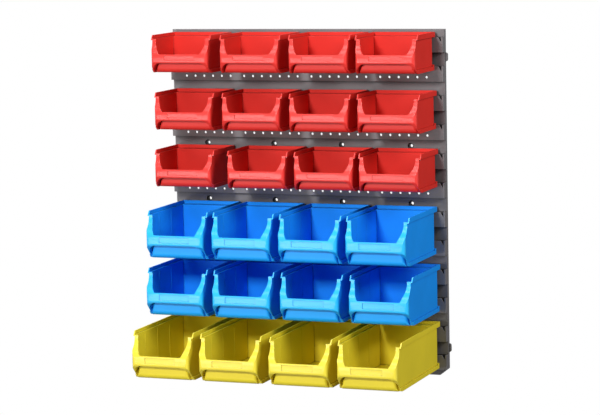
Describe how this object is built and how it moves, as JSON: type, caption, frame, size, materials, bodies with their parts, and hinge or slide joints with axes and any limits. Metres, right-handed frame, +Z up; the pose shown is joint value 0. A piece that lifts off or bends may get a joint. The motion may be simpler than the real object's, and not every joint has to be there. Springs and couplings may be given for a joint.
{
  "type": "wall-mounted bin rack",
  "caption": "Louvred plastic wall panel with open-fronted storage bins of several sizes hooked onto its tongues, for sorting small parts in a workshop.",
  "frame": {"origin": "middle of the four outer wall screw holes, in the wall plane at the panel's back", "axes": "+X to the right as seen from the front, +Y towards the wall, +Z up"},
  "size_m": [0.4674, 0.2281, 0.552],
  "materials": {
    "panel_plastic": "dark grey moulded plastic, satin",
    "red_plastic": "red moulded plastic, semi-gloss",
    "blue_plastic": "blue moulded plastic, semi-gloss",
    "yellow_plastic": "yellow moulded plastic, semi-gloss"
  },
  "bodies": {
    "panel": {"panel_frame": "panel_plastic", "louvre_01": "panel_plastic", "louvre_02": "panel_plastic", "louvre_03": "panel_plastic", "louvre_04": "panel_plastic", "louvre_05": "panel_plastic", "louvre_06": "panel_plastic", "louvre_07": "panel_plastic", "louvre_08": "panel_plastic", "louvre_09": "panel_plastic", "louvre_10": "panel_plastic", "louvre_11": "panel_plastic", "louvre_12": "panel_plastic"},
    "red_bin_11": {"red_bin_11": "red_plastic"},
    "red_bin_12": {"red_bin_12": "red_plastic"},
    "red_bin_13": {"red_bin_13": "red_plastic"},
    "red_bin_14": {"red_bin_14": "red_plastic"},
    "red_bin_21": {"red_bin_21": "red_plastic"},
    "red_bin_22": {"red_bin_22": "red_plastic"},
    "red_bin_23": {"red_bin_23": "red_plastic"},
    "red_bin_24": {"red_bin_24": "red_plastic"},
    "red_bin_31": {"red_bin_31": "red_plastic"},
    "red_bin_32": {"red_bin_32": "red_plastic"},
    "red_bin_33": {"red_bin_33": "red_plastic"},
    "red_bin_34": {"red_bin_34": "red_plastic"},
    "blue_bin_41": {"blue_bin_41": "blue_plastic"},
    "blue_bin_42": {"blue_bin_42": "blue_plastic"},
    "blue_bin_43": {"blue_bin_43": "blue_plastic"},
    "blue_bin_44": {"blue_bin_44": "blue_plastic"},
    "blue_bin_51": {"blue_bin_51": "blue_plastic"},
    "blue_bin_52": {"blue_bin_52": "blue_plastic"},
    "blue_bin_53": {"blue_bin_53": "blue_plastic"},
    "blue_bin_54": {"blue_bin_54": "blue_plastic"},
    "yellow_bin_61": {"yellow_bin_61": "yellow_plastic"},
    "yellow_bin_62": {"yellow_bin_62": "yellow_plastic"},
    "yellow_bin_63": {"yellow_bin_63": "yellow_plastic"},
    "yellow_bin_64": {"yellow_bin_64": "yellow_plastic"}
  },
  "joints": [
    {"name": "red_bin_11_lift", "type": "slide", "parent": "panel", "child": "red_bin_11", "axis": [0, 0, 1], "range_m": [0, 0.012]},
    {"name": "red_bin_12_lift", "type": "slide", "parent": "panel", "child": "red_bin_12", "axis": [0, 0, 1], "range_m": [0, 0.012]},
    {"name": "red_bin_13_lift", "type": "slide", "parent": "panel", "child": "red_bin_13", "axis": [0, 0, 1], "range_m": [0, 0.012]},
    {"name": "red_bin_14_lift", "type": "slide", "parent": "panel", "child": "red_bin_14", "axis": [0, 0, 1], "range_m": [0, 0.012]},
    {"name": "red_bin_21_lift", "type": "slide", "parent": "panel", "child": "red_bin_21", "axis": [0, 0, 1], "range_m": [0, 0.012]},
    {"name": "red_bin_22_lift", "type": "slide", "parent": "panel", "child": "red_bin_22", "axis": [0, 0, 1], "range_m": [0, 0.012]},
    {"name": "red_bin_23_lift", "type": "slide", "parent": "panel", "child": "red_bin_23", "axis": [0, 0, 1], "range_m": [0, 0.012]},
    {"name": "red_bin_24_lift", "type": "slide", "parent": "panel", "child": "red_bin_24", "axis": [0, 0, 1], "range_m": [0, 0.012]},
    {"name": "red_bin_31_lift", "type": "slide", "parent": "panel", "child": "red_bin_31", "axis": [0, 0, 1], "range_m": [0, 0.012]},
    {"name": "red_bin_32_lift", "type": "slide", "parent": "panel", "child": "red_bin_32", "axis": [0, 0, 1], "range_m": [0, 0.012]},
    {"name": "red_bin_33_lift", "type": "slide", "parent": "panel", "child": "red_bin_33", "axis": [0, 0, 1], "range_m": [0, 0.012]},
    {"name": "red_bin_34_lift", "type": "slide", "parent": "panel", "child": "red_bin_34", "axis": [0, 0, 1], "range_m": [0, 0.012]},
    {"name": "blue_bin_41_lift", "type": "slide", "parent": "panel", "child": "blue_bin_41", "axis": [0, 0, 1], "range_m": [0, 0.012]},
    {"name": "blue_bin_42_lift", "type": "slide", "parent": "panel", "child": "blue_bin_42", "axis": [0, 0, 1], "range_m": [0, 0.012]},
    {"name": "blue_bin_43_lift", "type": "slide", "parent": "panel", "child": "blue_bin_43", "axis": [0, 0, 1], "range_m": [0, 0.012]},
    {"name": "blue_bin_44_lift", "type": "slide", "parent": "panel", "child": "blue_bin_44", "axis": [0, 0, 1], "range_m": [0, 0.012]},
    {"name": "blue_bin_51_lift", "type": "slide", "parent": "panel", "child": "blue_bin_51", "axis": [0, 0, 1], "range_m": [0, 0.012]},
    {"name": "blue_bin_52_lift", "type": "slide", "parent": "panel", "child": "blue_bin_52", "axis": [0, 0, 1], "range_m": [0, 0.012]},
    {"name": "blue_bin_53_lift", "type": "slide", "parent": "panel", "child": "blue_bin_53", "axis": [0, 0, 1], "range_m": [0, 0.012]},
    {"name": "blue_bin_54_lift", "type": "slide", "parent": "panel", "child": "blue_bin_54", "axis": [0, 0, 1], "range_m": [0, 0.012]},
    {"name": "yellow_bin_61_lift", "type": "slide", "parent": "panel", "child": "yellow_bin_61", "axis": [0, 0, 1], "range_m": [0, 0.012]},
    {"name": "yellow_bin_62_lift", "type": "slide", "parent": "panel", "child": "yellow_bin_62", "axis": [0, 0, 1], "range_m": [0, 0.012]},
    {"name": "yellow_bin_63_lift", "type": "slide", "parent": "panel", "child": "yellow_bin_63", "axis": [0, 0, 1], "range_m": [0, 0.012]},
    {"name": "yellow_bin_64_lift", "type": "slide", "parent": "panel", "child": "yellow_bin_64", "axis": [0, 0, 1], "range_m": [0, 0.012]}
  ]
}
